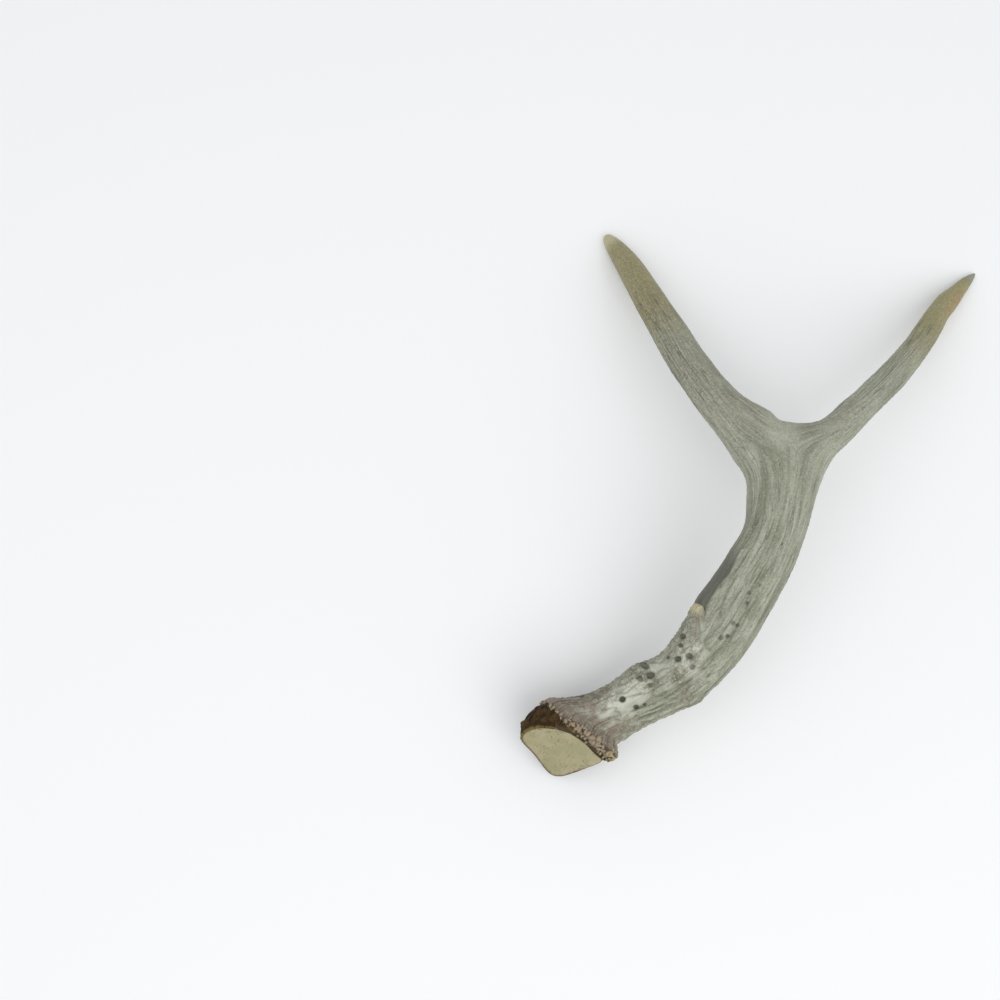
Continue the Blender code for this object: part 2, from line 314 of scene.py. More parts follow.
def brow_nub(mesh, rings):
    """The small brow tine, drawn out of one face of the beam. Returns where it starts and ends."""
    low, high = rings[NUB_RING], rings[NUB_RING + 1]
    corners = {corner[0] for corner in (*low[NUB_SIDE : NUB_SIDE + 2], *high[NUB_SIDE : NUB_SIDE + 2])}
    face = next(f for f in mesh.faces if set(f.verts) == corners)
    root = face.calc_center_median().copy()
    for length, scale in NUB_STEPS:
        face = bmesh.ops.extrude_discrete_faces(mesh, faces=[face])["faces"][0]
        middle = face.calc_center_median() + NUB_HEADING * length * MM
        for corner in face.verts:
            corner.co = middle + (corner.co + NUB_HEADING * length * MM - middle) * scale
    return root / MM, face.calc_center_median() / MM


cage = bmesh.new()
growth_layer = cage.loops.layers.uv.new("growth")
lower_rings = pedicle_and_burr(cage)
upper_rings = beam_rings(cage)
all_rings = lower_rings + upper_rings
for before, after in zip(all_rings, all_rings[1:]):
    skin(cage, growth_layer, before, after, BEAM_SHARE)
fork_oval, front_loop, rear_loop, web_corners = fork(cage, upper_rings[-1][0][1])
skin(cage, growth_layer, all_rings[-1], fork_oval, BEAM_SHARE)
FRONT_END = branch(cage, growth_layer, front_loop, FRONT_POINT, FRONT_TIP, FRONT_SHARE)
REAR_END = branch(cage, growth_layer, rear_loop, REAR_TINE, REAR_TIP, REAR_SHARE)
nub_root, nub_tip = brow_nub(cage, upper_rings)
bmesh.ops.recalc_face_normals(cage, faces=cage.faces)
cage_mesh = bpy.data.meshes.new("cage")
cage.to_mesh(cage_mesh)
cage.free()
cage_object = bpy.data.objects.new("cage", cage_mesh)
bpy.context.scene.collection.objects.link(cage_object)
rounding = cage_object.modifiers.new("rounding", "SUBSURF")
rounding.levels = rounding.render_levels = SMOOTHING
rounding.uv_smooth = "NONE"
grown = bpy.data.meshes.new_from_object(
    cage_object.evaluated_get(bpy.context.evaluated_depsgraph_get())
)
bpy.data.objects.remove(cage_object)


def column(collection, name, width, kind=float):
    """One property of every item of a mesh's collection, as rows of an array."""
    values = np.zeros(len(collection) * width, kind)
    collection.foreach_get(name, values)
    return values.reshape(-1, width) if width > 1 else values


place = column(grown.vertices, "co", 3) / MM
quads = column(grown.loops, "vertex_index", 1, int).reshape(-1, 4)
share_of_quad = column(grown.polygons, "material_index", 1, int)
corner_growth = column(grown.uv_layers["growth"].data, "uv", 2)
turn = np.zeros(len(place))
along = np.zeros(len(place))
turn[quads.ravel()] = 2 * pi * corner_growth[:, 0]
along[quads.ravel()] = corner_growth[:, 1]


def outward(points, faces):
    """The outward direction at every point of a skin of quads; a triangle repeats its last corner."""
    first, second, third, last = (points[faces[:, i]] for i in range(4))
    across = np.cross(third - first, last - second)
    total = np.zeros_like(points)
    for i in range(4):
        np.add.at(total, faces[:, i], across)
    return total / np.maximum(np.linalg.norm(total, axis=1, keepdims=True), 1e-12)


# The saw cut. The antler was sawn off slantwise through the pedicle, the stump of skull bone below
# the burr. The pedicle's side is drawn in along its own axis until its rim lies in the saw's plane.
UNSAWN = 4.6  # distance from the burr that stays as it is
axis, saw_normal = np.array(PEDICLE_AXIS), np.array(SAW_NORMAL)
away = (place - np.array(BURR)) @ axis
pedicle = (along < -2.0) & (away > UNSAWN)
foot = place - away[:, None] * axis
saw_depth = ((np.array(SAW_POINT) - foot) @ saw_normal) / (axis @ saw_normal)
drawn_in = UNSAWN + (away - UNSAWN) * (saw_depth - UNSAWN) / (PEDICLE_RINGS[0] - UNSAWN)
place[pedicle] += ((drawn_in - away)[:, None] * axis)[pedicle]


# The shape of its surface. Blood vessels in the velvet left furrows that run along the beam and part
# at the fork, with pearls of bone near the burr, a low ridge, round pits, and tips rubbed smooth.
def fade(values, start, end):
    """0 before start, 1 past end, and a smooth step between."""
    t = np.clip((values - start) / (end - start), 0.0, 1.0)
    return t * t * (3 - 2 * t)


def ripple(points, seed):
    """Smooth noise, about -1 to 1, that changes over a distance of 1."""
    shifted = points + np.array((17.3, 5.7, 31.1)) * seed
    return np.array([noise.noise(point) for point in shifted.tolist()])


ROUND = 11.0  # usual radius of the beam, so that noise wraps round it without a seam
growth_line = ROUND * np.abs(np.mod(turn + pi / 2, 2 * pi) - pi)  # from the underside, in millimetres
wander = 0.16 * ripple(np.column_stack([along / 30, np.cos(turn), np.sin(turn)]), 1)


def lengthwise(across, length, seed):
    """Noise drawn out along the antler, in marks that are so wide across and so long."""
    turned = turn + wander
    x, y = ROUND * np.cos(turned) / across, ROUND * np.sin(turned) / across
    return ripple(np.column_stack([x, y, along / length]), seed)


def vein(values, width):
    """1 on the winding lines where noise crosses zero, falling to 0 at width."""
    return 1 - fade(np.abs(values), 0.0, width)


bare = outward(place, quads)
web_line = np.array(web_corners)
web_distance = np.min(np.linalg.norm(place[:, None] - web_line[None], axis=2), axis=1)
web = 1 - fade(web_distance, 3.0, 9.0)
nub_axis = np.array(nub_tip - nub_root)
up_nub = np.clip(((place - np.array(nub_root)) @ nub_axis) / (nub_axis @ nub_axis), 0.0, 1.0)
nub_distance = np.linalg.norm(place - np.array(nub_root) - up_nub[:, None] * nub_axis, axis=1)
on_nub = (1 - fade(nub_distance, 2.6, 4.2)) * fade(up_nub, 0.35, 0.8)
grown_over = (1 - web) * (1 - 0.5 * on_nub)

lower_beam = fade(along, 3, 9) * (1 - fade(along, 52, 72))
past_fork = fade(along, 128, 150)
worn = fade(along, 195, 236)
height = np.zeros(len(place))

# Swellings and hollows of the whole form: where, how wide, and how far out.
SWELLINGS = [
    ((-28.6, -43.0, 40.0), 6.0, 2.7),
    ((-33.0, -50.5, 37.0), 5.0, 1.1),
    ((-23.0, -36.0, 42.0), 6.0, 1.3),
    ((-16.0, -25.0, 44.0), 7.0, 0.9),
    ((-50.0, -66.5, 27.0), 6.5, 2.0),
    ((-42.0, -60.5, 31.0), 5.5, -2.0),
    ((-61.0, -71.5, 23.0), 5.5, -1.2),
    ((-68.0, -75.5, 20.0), 6.0, -0.8),
    ((-7.5, 30.0, 41.0), 5.5, -0.3),
    ((3.0, 21.0, 43.0), 4.5, 0.9),
    ((10.0, 20.0, 43.0), 5.0, -0.4),
    ((15.5, 21.1, 42.0), 6.5, -1.5),
    ((22.0, 26.0, 40.5), 5.0, -0.9),
    ((-25.9, -79.3, 30.5), 2.2, 1.4),
    ((-29.0, -80.0, 29.0), 3.0, 0.5),
    ((-22.3, -76.2, 31.0), 4.0, -0.5),
    ((-40.3, -85.9, 26.0), 8.0, -1.5),
    ((-33.0, -82.5, 28.0), 4.0, -0.7),
    ((10.2, 0.0, 44.0), 6.0, 0.5),
    ((75.5, 78.5, 8.5), 5.0, 0.6),
    ((77.5, 68.0, 10.0), 5.0, -0.5),
    ((19.5, 5.0, 39.0), 5.0, 0.9),
    ((-78.0, -80.0, 28.0), 8.0, 2.2),
    ((-65.3, -84.6, 29.5), 2.8, -1.3),
]


def swelling(points):
    """How far every point stands out of the plain form."""
    total = np.zeros(len(points))
    for middle, reach, amount in SWELLINGS:
        total += amount * np.exp(-np.sum((points - np.array(middle)) ** 2, axis=1) / reach**2)
    return total


height += 0.35 * ripple(place / 13, 2) * (1 - worn)

broad = lengthwise(4.5, 60, 3)
furrows = vein(lengthwise(2.6, 30, 4), 0.13)
fine_furrows = vein(lengthwise(1.15, 22, 5), 0.20)
patch = fade(ripple(place / 11, 6), -0.25, 0.45)
on_left = fade(np.cos(turn), -0.15, 0.45)
calm = fade(along, 60, 85)
at_fork = fade(along, 95, 120) * (1 - fade(along, 145, 170))
depth = (0.42 - 0.17 * calm - 0.08 * at_fork) * (1 - worn) * grown_over * fade(along, 2, 8)
combed = 1 - 0.7 * lower_beam * fade(np.cos(turn + radians(10)), -0.3, 0.3)
furrowed = furrows * (0.25 + 0.75 * np.maximum(patch, 0.8 * on_left * calm)) * combed
fine_furrows *= combed
height += depth * (0.8 * broad - 0.85 * furrowed - 0.38 * fine_furrows)

# Broad flutes run along the right side of the lower beam, and pearls and winding ridges roughen it.
fluted = fade(along, 14, 24) * (1 - fade(along, 80, 105)) * (1 - fade(np.cos(turn), -0.1, 0.5))
flutes = lengthwise(2.4, 45, 26) * fluted
height += 0.75 * flutes
winding = ripple(np.column_stack([growth_line / 2.1, along / 6.5, np.sin(turn)]), 14)
worms = vein(winding, 0.22) * lower_beam * grown_over
pearl_noise = lengthwise(1.5, 2.6, 7)
pearls = fade(pearl_noise, 0.05, 0.45) * fade(ripple(place / 6, 15), -0.25, 0.2) * lower_beam * grown_over
height += 0.30 * pearls - 0.30 * worms

plate_noise = lengthwise(3.4, 9.0, 8)
plate_zone = fade(along, 45, 58) * (1 - fade(along, 92, 106)) * fade(np.sin(turn), 0.45, 0.8)
plates = fade(plate_noise, 0.06, 0.18) * plate_zone * grown_over
height += 0.28 * plates

# The flank above the nub: smooth and hollow, under a sharp ridge that runs on up the beam.
RIDGE = [(62, 52), (70, 46), (77, 44), (83, 50), (91, 44), (99, 36), (108, 40), (118, 44)]
ridge_along, ridge_degrees = np.array(RIDGE).T
ridge_turn = np.radians(np.interp(along, ridge_along, ridge_degrees))
from_ridge = (np.mod(turn - ridge_turn + pi, 2 * pi) - pi) * ROUND
on_ridge = fade(along, 58, 68) * (1 - fade(along, 104, 118)) * grown_over
flank = on_ridge * (1 - fade(from_ridge, -1.8, -0.3)) * fade(from_ridge, -14, -8)
height += on_ridge * 0.55 * np.exp(-((from_ridge / 0.8) ** 2)) - 0.75 * flank
height += flank * depth * (0.6 * furrows - 0.5 * broad)

bark = 0.13 * ripple(place / 1.4, 9) + 0.08 * ripple(place / 0.8, 10)
curled = ripple(np.column_stack([growth_line / 1.3, along / 1.9, np.sin(turn)]), 19)
rough_noise = ripple(place / 7, 20)
curling = lower_beam * fade(rough_noise + 0.25 * np.cos(turn), -0.15, 0.35)
height += 0.28 * vein(curled, 0.25) * curling
height += bark * (1 - 0.6 * worn) * (1 - 0.5 * flank) * (1 + on_nub)

# Round pits on the upper side of the lower beam and nub: middle seen from above, radius, depth.
PITS = [
    (-54.0, -77.9, 1.35, 0.8),
    (-49.3, -80.9, 1.1, 0.6),
    (-46.4, -80.2, 0.7, 0.4),
    (-45.5, -66.3, 1.5, 0.4),
    (-44.2, -69.6, 1.7, 0.5),
    (-47.6, -70.8, 1.2, 0.4),
    (-44.6, -73.2, 1.0, 0.3),
    (-35.0, -64.3, 1.4, 0.6),
    (-31.4, -63.4, 1.4, 0.5),
    (-34.0, -59.5, 0.9, 0.5),
    (-33.0, -56.5, 1.2, 0.4),
    (-30.3, -67.2, 1.2, 0.4),
    (-68.2, -75.9, 1.2, 1.1),
    (-38.5, -63.4, 0.7, 0.5),
    (-17.0, -52.5, 0.9, 0.3),
    (-15.4, -53.3, 0.8, 0.3),
    (-20.9, -57.4, 1.0, 0.3),
    (-18.6, -57.0, 0.9, 0.4),
    (-12.2, -46.0, 0.8, 0.3),
    (-11.6, -42.4, 0.8, 0.25),
    (-7.9, -39.9, 0.5, 0.25),
    (-0.3, -25.9, 0.5, 0.25),
]
pits = np.zeros(len(place))
for x, y, radius, deep in PITS:
    apart = np.hypot(place[:, 0] - x, place[:, 1] - y) / (0.85 * radius)
    upper = bare[:, 2] > 0.05
    hole = np.exp(-(apart**6)) * upper
    rim = np.exp(-(((apart - 1.45) / 0.35) ** 2)) * upper
    height += 0.22 * rim * min(1.0, radius) - deep * hole
    edge = np.exp(-(((apart - 0.85) / 0.3) ** 2))
    pits = np.maximum(pits, hole * min(1.0, 0.5 + 0.7 * deep) * (0.7 + 0.3 * deep + 0.35 * edge))

# The burr: a rolled lip of lumpy bone, scored across. The knobs on its edge are set on it below.
lip = fade(along, -3.0, -1.4) * (1 - fade(along, 4.0, 9.0))
lumps = 0.45 * ripple(place / 1.6, 12) + 0.2 * ripple(place / 0.8, 24)
height += lip * (0.55 * lengthwise(1.2, 12, 11) + lumps)

height = swelling(place) + height * np.where(along < -3.0, 0.25, 1.0)
shape = place + height[:, None] * bare
shape[:, 2] = np.maximum(shape[:, 2], 0.03)
facing = outward(shape, quads)

# What colours it: each is 0 to 1 at every point and is kept on the mesh for the finish below.
honey_front = fade(along, 178, 222) * (1 - 0.5 * fade(along, 240, 250))
honey_rear = fade(along, 178, 226) * (1 - fade(along, 244, 251))
rear_side = np.zeros(len(place), bool)
rear_side[quads[share_of_quad == REAR_SHARE].ravel()] = True
rust = np.zeros(len(place))
for spot, reach in (((79.6, 75.2, 9.5), 2.6), ((76.6, 70.4, 11.5), 2.2), ((82.0, 79.0, 7.0), 2.0)):
    rust += np.exp(-np.sum((place - np.array(spot)) ** 2, axis=1) / reach**2)
burr_side = 1 - fade(along, 4, 17 + 5 * ripple(place / 6, 16))
bleached = np.zeros(len(place))
for spot, reach in (
    ((-57.4, -80.4, 29.0), 7.0),
    ((-43.0, -63.8, 33.0), 6.0),
    ((-49.0, -75.0, 31.0), 5.0),
    ((-31.0, -64.0, 38.0), 6.0),
    ((-27.0, -60.5, 40.0), 3.5),
):
    bleached += np.exp(-((np.sum((place - np.array(spot)) ** 2, axis=1) / reach**2) ** 2))
bleached *= grown_over * (0.75 + 0.5 * ripple(place / 3.0, 17))
right_arm = fade(place[:, 0], 10, 20) * (1 - fade(along, 188, 205))

furrow = 0.9 * furrowed + 0.4 * fine_furrows + 0.45 * fade(-flutes, 0.15, 0.40)
furrow *= (1 - worn) * (1 - 0.5 * at_fork) * grown_over
furrow = (furrow + 0.5 * worms) * (1 - 0.5 * bleached)
pale = 0.6 * plates + 0.4 * pearls + 0.6 * fade(flutes, 0.0, 0.25)
pale += 0.25 * fade(broad, 0.0, 0.5) * grown_over + 0.55 * web + 0.55 * past_fork
pale += 0.8 * right_arm + 0.6 * fade(along, 8, 20) * (1 - fade(along, 46, 66))
rough = lower_beam * fade(rough_noise + 0.35 * np.cos(turn), -0.25, 0.25)
rough *= 1 - 0.5 * np.clip(bleached, 0, 1)
rough += 1.6 * on_nub * (1 - fade(up_nub, 0.60, 0.9)) + 0.35 * past_fork * ~rear_side
# Painted shade: the grey shade colour is laid on the flank above the nub, and also greys the rear tine's end.
shaded = flank * (1 - 0.85 * fade(along, 84, 98)) + 0.4 * fade(along, 243, 250) * rear_side
stain = burr_side * fade(ripple(place / 3.0, 13), -0.5, 0.3)
stain = np.maximum(stain, 0.85 * (1 - fade(along, 2.5, 6.0)) + 0.3 * on_nub)
flaking = np.where(rear_side, 0.0, fade(along, 150, 172) * (1 - fade(along, 225, 243)))
flaking *= fade(np.cos(turn) + 0.8 * ripple(place / 8, 25), -0.3, 0.5)
nub_point = (1 - fade(nub_distance, 1.2, 2.4)) * fade(up_nub, 0.55, 1.0)
marks = {
    "furrow": furrow,
    "pale": pale,
    "bleached": np.clip(bleached, 0, 1) * (1 - 0.9 * worms) * (1 - 0.6 * furrowed),
    "pit": pits,
    "rough": rough,
    "plain": web + worn + 0.8 * bleached + 0.4 * lower_beam,
    "flank": shaded,
    "stain": stain,
    "soil": (1 - fade(along, -0.6, 1.2)) * fade(ripple(place / 1.5, 18), -0.8, -0.1),
    "flaking": flaking,
    "honey": 1.25 * np.where(rear_side, honey_rear, honey_front),
    "rust": rust,
    "worn_tip": np.where(rear_side, 0.0, fade(along, 243, 250)) + nub_point,
}
marks = {name: np.clip(value, 0, 1).astype(np.float32) for name, value in marks.items()}
growth = np.column_stack([ROUND * np.cos(turn), ROUND * np.sin(turn), along])


# The finish of the bone: matt grey-green where rain has leached it, paler on what stands proud, dark
# with dirt and algae in furrows and pits, stained brown beside the burr and honey towards the tips,
# with painted shade on the flank above the nub.
def add(material, kind, inputs=None, **settings):
    """A node of a material, with the values of its inputs."""
    made = material.node_tree.nodes.new("ShaderNode" + kind)
    for name, value in settings.items():
        setattr(made, name, value)
    for name, value in (inputs or {}).items():
        if isinstance(value, bpy.types.NodeSocket):
            material.node_tree.links.new(value, made.inputs[name])
        else:
            made.inputs[name].default_value = value
    return made


def mark(material, name):
    """A mark kept on the mesh, 0 to 1."""
    return add(material, "Attribute", attribute_name=name).outputs["Fac"]


def coat(material, amount, below, above):
    """One colour over another, by an amount."""
    made = add(material, "Mix", data_type="RGBA")
    for value, target in ((amount, made.inputs[0]), (below, made.inputs[6]), (above, made.inputs[7])):
        if isinstance(value, bpy.types.NodeSocket):
            material.node_tree.links.new(value, target)
        else:
            target.default_value = value
    return made.outputs[2]


def mottle(material, size, low=0.0, high=1.0, detail=3.0):
    """Noise of a size in millimetres, as 0 below low and 1 above high."""
    place_of = add(material, "TexCoord").outputs["Object"]
    values = {"Vector": place_of, "Scale": 1000.0 / size, "Detail": detail, "Roughness": 0.6}
    made = add(material, "TexNoise", values)
    return between(material, made.outputs["Fac"], low, high)


def streaks(material, across, length, low, high):
    """Noise drawn out along the antler, across by length in millimetres."""
    grown_at = add(material, "Attribute", attribute_name="growth").outputs["Vector"]
    squeeze = (1 / across, 1 / across, 1 / length)
    drawn = add(material, "VectorMath", {0: grown_at, 1: squeeze}, operation="MULTIPLY")
    values = {"Vector": drawn.outputs["Vector"], "Scale": 1.0, "Detail": 2.0}
    return between(material, add(material, "TexNoise", values).outputs["Fac"], low, high)


def between(material, value, low, high):
    """0 below low, 1 above high."""
    inputs = {"Value": value, "From Min": low, "From Max": high}
    return add(material, "MapRange", inputs, interpolation_type="SMOOTHSTEP").outputs["Result"]


def lines_in(material, value, width):
    """1 on the thin winding lines where noise passes its middle, falling to 0 at width."""
    off = add(material, "Math", {0: value, 1: 0.5}, operation="SUBTRACT").outputs["Value"]
    apart = add(material, "Math", {0: off}, operation="ABSOLUTE").outputs["Value"]
    return between(material, apart, width, 0.0)


def scaled(material, value, factor):
    """A value times a factor."""
    return add(material, "Math", {0: value, 1: factor}, operation="MULTIPLY").outputs["Value"]


def new_finish(name):
    """A material and the shader that its colour goes into."""
    material = bpy.data.materials.new(name)
    material.use_nodes = True
    return material, material.node_tree.nodes["Principled BSDF"]


LEACHED = (0.285, 0.288, 0.212, 1)
PALE = (0.455, 0.460, 0.360, 1)
TAUPE = (0.200, 0.170, 0.130, 1)
DIRT = (0.125, 0.128, 0.078, 1)
SPECK = (0.120, 0.120, 0.078, 1)
CHALK = (0.650, 0.650, 0.545, 1)
ROSE = (0.300, 0.235, 0.180, 1)
BARK_RED = (0.135, 0.098, 0.060, 1)
SHADED = (0.110, 0.113, 0.092, 1)
HONEY = (0.310, 0.262, 0.105, 1)
RUST = (0.360, 0.225, 0.090, 1)
UMBER = (0.225, 0.160, 0.120, 1)
SOIL = (0.050, 0.030, 0.012, 1)
IVORY = (0.500, 0.460, 0.280, 1)
ALGAE = (0.038, 0.040, 0.020, 1)

weathered_bone, shader = new_finish("weathered_bone")
colour = coat(weathered_bone, streaks(weathered_bone, 3.0, 45.0, 0.3, 0.7), LEACHED, PALE)
less_plain = {0: 1.0, 1: mark(weathered_bone, "plain")}
not_plain = add(weathered_bone, "Math", less_plain, operation="SUBTRACT").outputs["Value"]
rough_mark = mark(weathered_bone, "rough")
curly = lines_in(weathered_bone, mottle(weathered_bone, 2.6, 0.0, 1.0, 4.0), 0.07)
cracks = lines_in(weathered_bone, streaks(weathered_bone, 1.6, 16.0, 0.0, 1.0), 0.035)
flakes = mottle(weathered_bone, 1.1, 0.55, 0.62, 5.0)
lip_lines = streaks(weathered_bone, 0.55, 12.0, 0.50, 0.62)
for amount, share, above in (
    (scaled(weathered_bone, rough_mark, mottle(weathered_bone, 2.6, 0.47, 0.56, 5.0)), 0.6, TAUPE),
    (mottle(weathered_bone, 1.2, 0.55, 0.66, 5.0), 0.5, PALE),
    (mark(weathered_bone, "pale"), 0.75, PALE),
    (mark(weathered_bone, "honey"), 0.85, HONEY),
    (mark(weathered_bone, "rust"), 0.75, RUST),
    (scaled(weathered_bone, not_plain, streaks(weathered_bone, 0.6, 16.0, 0.54, 0.66)), 0.42, SPECK),
    (mark(weathered_bone, "furrow"), 0.85, DIRT),
    (scaled(weathered_bone, cracks, not_plain), 0.5, SPECK),
    (mottle(weathered_bone, 0.6, 0.50, 0.62, 2.0), 0.34, SPECK),
    (mark(weathered_bone, "bleached"), 0.85, CHALK),
    (mark(weathered_bone, "stain"), 0.75, UMBER),
    (scaled(weathered_bone, rough_mark, mottle(weathered_bone, 2.0, 0.50, 0.58, 5.0)), 0.65, ROSE),
    (scaled(weathered_bone, curly, rough_mark), 0.85, DIRT),
    (scaled(weathered_bone, mark(weathered_bone, "stain"), lip_lines), 0.6, SOIL),
    (scaled(weathered_bone, mark(weathered_bone, "flaking"), flakes), 0.6, BARK_RED),
    (mottle(weathered_bone, 0.7, 0.55, 0.65, 2.0), 0.22, CHALK),
    # painted shade on the flank above the nub
    (mark(weathered_bone, "flank"), 0.8, SHADED),
    (mark(weathered_bone, "worn_tip"), 0.95, IVORY),
    (mark(weathered_bone, "pit"), 0.95, ALGAE),
    (mark(weathered_bone, "soil"), 0.9, SOIL),
):
    colour = coat(weathered_bone, scaled(weathered_bone, amount, share), colour, above)
polish = {"Value": mark(weathered_bone, "honey"), "To Min": 0.72, "To Max": 0.5}
roughness = add(weathered_bone, "MapRange", polish)
fine = mottle(weathered_bone, 0.45)
grain_bump = add(weathered_bone, "Bump", {"Height": fine, "Distance": 0.00012, "Strength": 0.6})
fibre = scaled(weathered_bone, not_plain, streaks(weathered_bone, 0.6, 7.0, 0.0, 1.0))
fibre_bump = add(
    weathered_bone,
    "Bump",
    {"Height": fibre, "Distance": 0.0004, "Strength": 0.6, "Normal": grain_bump.outputs["Normal"]},
)
weathered_bone.node_tree.links.new(colour, shader.inputs["Base Color"])
weathered_bone.node_tree.links.new(roughness.outputs["Result"], shader.inputs["Roughness"])
weathered_bone.node_tree.links.new(fibre_bump.outputs["Normal"], shader.inputs["Normal"])
shader.inputs["Specular IOR Level"].default_value = 0.35


def rims_of(faces):
    """The corners round every open edge of a skin, in the order that a cap over it runs."""
    edges = {(int(a), int(b)) for i in range(4) for a, b in faces[:, (i, (i + 1) % 4)]}
    following = {b: a for a, b in edges if (b, a) not in edges}
    rims = []
    while following:
        start, corner = following.popitem()
        rim = [start]
        while corner != start:
            rim.append(corner)
            corner = following.pop(corner)
        rims.append(rim)
    return sorted(rims)


def keep_values(mesh, name, values):
    """Keeps a number or a vector for every point of a mesh, for its finish to use."""
    values = np.asarray(values, np.float32)
    if values.ndim == 1:
        mesh.attributes.new(name, "FLOAT", "POINT").data.foreach_set("value", values)
    else:
        mesh.attributes.new(name, "FLOAT_VECTOR", "POINT").data.foreach_set("vector", values.ravel())


def bone_piece(name, share, finishes, sawn_cap=None):
    """A closed piece of the bone: its share of the skin, and a cap over every rim."""
    used, faces = np.unique(quads[share_of_quad == share], return_inverse=True)
    faces = faces.reshape(-1, 4)
    points, corner_normals = shape[used], facing[used][faces.ravel()]
    piece_growth = growth[used]
    piece_marks = {mark_name: values[used] for mark_name, values in marks.items()}
    finish_of_face = np.zeros(len(faces), int)
    for rim in rims_of(faces):
        if along[used[rim]].max() < -UNSAWN:
            more_points, cap, cap_growth, cap_soil = sawn_cap(points[rim])
            finish = 1
        else:  # a hollow cone, hidden where the next piece meets this one
            middle = points[rim].mean(axis=0)
            near = points[np.linalg.norm(points - middle, axis=1) < 14.0].mean(axis=0)
            more_points = (middle + 0.3 * (near - middle))[None]
            cap = np.array([(i, (i + 1) % len(rim), len(rim), len(rim)) for i in range(len(rim))])
            cap_growth, cap_soil = np.zeros((1, 3)), np.zeros(1)
            finish = 0
        cap_points = np.vstack([points[rim], more_points])
        corner_normals = np.vstack([corner_normals, outward(cap_points, cap)[cap.ravel()]])
        numbers = np.append(rim, len(points) + np.arange(len(more_points)))
        faces = np.vstack([faces, numbers[cap]])
        finish_of_face = np.append(finish_of_face, np.full(len(cap), finish))
        points = np.vstack([points, more_points])
        piece_growth = np.vstack([piece_growth, cap_growth])
        for mark_name, values in piece_marks.items():
            cap_marks = cap_soil if mark_name == "soil" else np.zeros(len(cap_soil))
            piece_marks[mark_name] = np.append(values, cap_marks)
    polygons = [face[:3] if face[2] == face[3] else face for face in faces.tolist()]
    kept = np.ones(len(faces) * 4, bool)
    kept[3::4] = faces[:, 2] != faces[:, 3]
    mesh = bpy.data.meshes.new(name)
    mesh.from_pydata((points * MM).tolist(), [], polygons)
    for finish in finishes:
        mesh.materials.append(finish)
    mesh.polygons.foreach_set("material_index", finish_of_face.astype(np.int32))
    for mark_name, values in piece_marks.items():
        keep_values(mesh, mark_name, values)
    keep_values(mesh, "growth", piece_growth)
    mesh.shade_smooth()
    mesh.normals_split_custom_set(corner_normals[kept].tolist())
    piece = bpy.data.objects.new(name, mesh)
    bpy.context.scene.collection.objects.link(piece)
    return piece


# The beam, with the stump of pedicle below its burr. The saw left a flat cream face across the
# pedicle, with faint lines from its teeth, a few pores and a darker skin of bone at the rim.
FACE_LOOPS = 26
ACROSS_TEETH = np.array((0.90, -0.42, -0.10))  # over the lines that the saw's teeth left
ALONG_TEETH = np.array((0.52, 0.62, 0.59))
CREAM = (0.400, 0.350, 0.200, 1)
GREEN_CREAM = (0.320, 0.298, 0.152, 1)
BARK_BROWN = (0.130, 0.085, 0.045, 1)

sawn_bone, shader = new_finish("sawn_bone")
colour = coat(sawn_bone, mottle(sawn_bone, 7.0, 0.35, 0.65), CREAM, GREEN_CREAM)
teeth_lines = scaled(sawn_bone, streaks(sawn_bone, 0.35, 40.0, 0.5, 0.75), 0.25)
colour = coat(sawn_bone, teeth_lines, colour, BARK_BROWN)
pores = scaled(sawn_bone, mottle(sawn_bone, 0.8, 0.57, 0.64, 2.0), mottle(sawn_bone, 6.0, 0.46, 0.58))
colour = coat(sawn_bone, scaled(sawn_bone, pores, 0.75), colour, BARK_BROWN)
colour = coat(sawn_bone, mark(sawn_bone, "soil"), colour, BARK_BROWN)
sawn_bone.node_tree.links.new(colour, shader.inputs["Base Color"])
shader.inputs["Roughness"].default_value = 0.6


def sawn_cap(rim_points):
    """Loops of corners from the rim to the middle, roughened by the saw."""
    count = len(rim_points)
    middle = rim_points.mean(axis=0)
    inward = np.linspace(1.0, 0.0, FACE_LOOPS + 1)[1:-1]
    loops = [middle + (rim_points - middle) * share for share in inward]
    points = np.vstack([*loops, middle[None]])
    level = -((points - np.array(SAW_POINT)) @ saw_normal)
    across_teeth = points @ ACROSS_TEETH
    teeth = 0.05 * np.sin(across_teeth * 5.2 + 1.5 * ripple(points / 6, 21))
    teeth += 0.07 * ripple(points / 1.1, 22)
    points = points + (level + teeth)[:, None] * saw_normal
    along_teeth = points @ ALONG_TEETH
    drawn_teeth = np.column_stack([across_teeth, across_teeth * 0, along_teeth])
    from_middle = np.append(np.repeat(inward, count), 0.0)
    low_side = fade(middle @ ALONG_TEETH - along_teeth, 2.0, 7.0)
    ragged = 0.03 * ripple(points / 1.5, 23)
    soil = low_side * fade(from_middle + ragged, 0.93, 0.975)
    cap = []
    for k in range(FACE_LOOPS - 1):
        for i in range(count):
            j = (i + 1) % count
            cap.append((k * count + i, k * count + j, (k + 1) * count + j, (k + 1) * count + i))
    last, end = (FACE_LOOPS - 1) * count, FACE_LOOPS * count
    cap += [(last + i, last + (i + 1) % count, end, end) for i in range(count)]
    return points, np.array(cap), drawn_teeth, soil


beam = bone_piece("antler_beam", BEAM_SHARE, [weathered_bone, sawn_bone], sawn_cap)
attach(beam, "root")
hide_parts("beam")

# The front point, the tip of the main beam and the longer branch. It is the same bone as the beam,
# grown on from the fork without a joint, and is smoother, honey-coloured and rubbed pale at its tip.
front_point = bone_piece("antler_front_point", FRONT_SHARE, [weathered_bone])
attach(front_point, "root")
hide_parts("front_point")

# The rear tine, the thinner branch. It is the same bone again, grown out of the fork without a
# joint, and has a rust stain and a grey end.
rear_tine = bone_piece("antler_rear_tine", REAR_SHARE, [weathered_bone])
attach(rear_tine, "root")
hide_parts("rear_tine")
